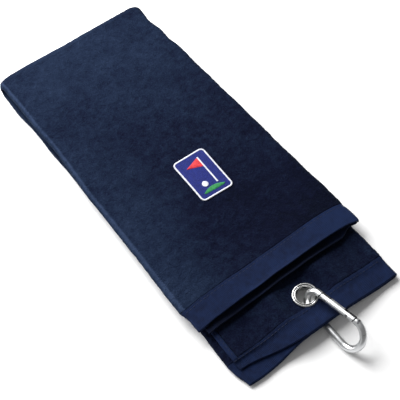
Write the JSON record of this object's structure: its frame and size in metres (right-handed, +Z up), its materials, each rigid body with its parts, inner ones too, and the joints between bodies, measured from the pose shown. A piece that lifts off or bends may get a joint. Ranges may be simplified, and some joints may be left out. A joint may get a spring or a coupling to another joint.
{
  "type": "golf towel",
  "caption": "Golf towel folded in thirds and then in half, with an embroidered badge, and a grommet at its end that holds a spring-gate carabiner.",
  "frame": {"origin": "centre of the lower half's underside, on the surface the towel lies on", "axes": "+X along the towel from the half fold towards the grommet end, +Y across it towards the side fold that the top panel turns over, +Z up"},
  "size_m": [0.3461, 0.142, 0.0226],
  "materials": {
    "pile": "matte",
    "hem": "matte",
    "navy_thread": "matte",
    "blue_thread": "satin",
    "white_thread": "satin",
    "red_thread": "satin",
    "green_thread": "satin",
    "bright_steel": "polished",
    "satin_aluminium": "satin",
    "spring_steel": "satin"
  },
  "bodies": {
    "lower_half": {"lower_cloth": "pile", "half_fold_cloth": "pile", "lower_end_hem": "hem", "lower_side_hem": "hem", "lower_end_seam": "navy_thread", "lower_side_seam": "navy_thread", "grommet_eyelet": "bright_steel", "grommet_washer": "bright_steel"},
    "flap": {"flap_cloth": "pile", "flap_end_hem": "hem", "flap_side_hem": "hem", "flap_end_seam": "navy_thread", "badge_backing": "blue_thread", "badge_field": "blue_thread", "badge_border": "white_thread", "badge_flagstick": "white_thread", "badge_pennant": "red_thread", "badge_ball": "white_thread", "badge_green": "green_thread"},
    "carabiner": {"carabiner_body": "satin_aluminium", "gate_hinge_pin": "bright_steel"},
    "gate": {"carabiner_gate": "satin_aluminium", "gate_latch_pin": "bright_steel", "gate_spring": "spring_steel"},
    "plunger": {"gate_plunger": "spring_steel"}
  },
  "joints": [
    {"name": "half_fold", "type": "hinge", "parent": "lower_half", "child": "flap", "pos_m": [-0.1505, 0, 0.0075], "axis": [0, -1, 0], "range_deg": [0, 179.8], "deforming": ["half_fold_cloth"]},
    {"name": "carabiner_swing", "type": "hinge", "parent": "lower_half", "child": "carabiner", "pos_m": [0.1351, 0.00735, 0.0075], "axis": [0, 0, 1], "range_deg": [-30, 30]},
    {"name": "gate_hinge", "type": "hinge", "parent": "carabiner", "child": "gate", "pos_m": [0.1665, 0.0144, 0.01883], "axis": [0, -0.848, 0.5299], "range_deg": [0, 10], "stiffness_Nm_per_rad": 0.05, "springref_deg": -20.05},
    {"name": "plunger_slide", "type": "slide", "parent": "gate", "child": "plunger", "axis": [-0.979, -0.108, -0.1729], "range_m": [0, 0.0003], "deforming": ["gate_spring"]}
  ],
  "couplings": [
    {"joint": "plunger_slide", "follows": "gate_hinge", "m_per_rad": 0.0017}
  ]
}
